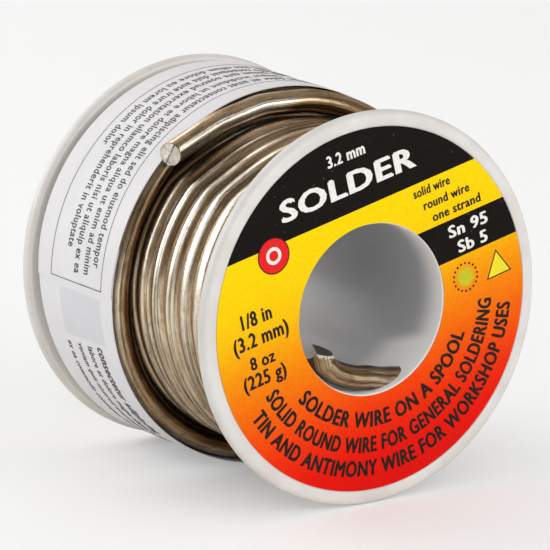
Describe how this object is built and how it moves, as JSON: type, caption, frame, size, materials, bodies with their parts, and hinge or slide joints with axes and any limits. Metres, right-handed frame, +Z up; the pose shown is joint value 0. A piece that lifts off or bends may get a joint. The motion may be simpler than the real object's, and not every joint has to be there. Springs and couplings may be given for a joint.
{
  "type": "solder wire spool",
  "caption": "Flanged plastic spool wound with thick solder wire, with a round face label, a paper wrap band, a loose wire end that lifts off the coil and an inner tail in the bore.",
  "frame": {"origin": "on the bore axis, midway between the outer faces of the two flanges", "axes": "+Y along the bore axis from the labelled front face to the rear face, +Z up, +X to the right seen from the front"},
  "size_m": [0.054, 0.0456, 0.054],
  "materials": {
    "white_plastic": "moulded, satin",
    "label_print": "printed gloss film, yellow to red with black bands",
    "label_paper": "satin coated paper with fine grey print",
    "solder": "drawn tin alloy, warm silver, semi-bright"
  },
  "bodies": {
    "spool": {"spool_body": "white_plastic", "face_label": "label_print", "wrap_label": "label_paper", "solder_coil": "solder"},
    "free_end_root": {"free_end_root": "solder"},
    "free_end_middle": {"free_end_middle": "solder"},
    "free_end_tip": {"free_end_tip": "solder"},
    "inner_tail": {"inner_tail": "solder"}
  },
  "joints": [
    {"name": "free_end_lift", "type": "hinge", "parent": "spool", "child": "free_end_root", "pos_m": [0.00261, -0.00345, 0.02481], "axis": [0, 1, 0], "range_deg": [0, 25]},
    {"name": "free_end_middle_bend", "type": "hinge", "parent": "free_end_root", "child": "free_end_middle", "pos_m": [-0.00438, -0.00265, 0.02482], "axis": [0, 1, 0], "range_deg": [0, 25]},
    {"name": "free_end_tip_bend", "type": "hinge", "parent": "free_end_middle", "child": "free_end_tip", "pos_m": [-0.01127, -0.00235, 0.0231], "axis": [0, 1, 0], "range_deg": [0, 25]},
    {"name": "inner_tail_bend", "type": "hinge", "parent": "spool", "child": "inner_tail", "pos_m": [0.00515, -0.0197, -0.01011], "axis": [0, 1, 0], "range_deg": [0, 40]}
  ]
}
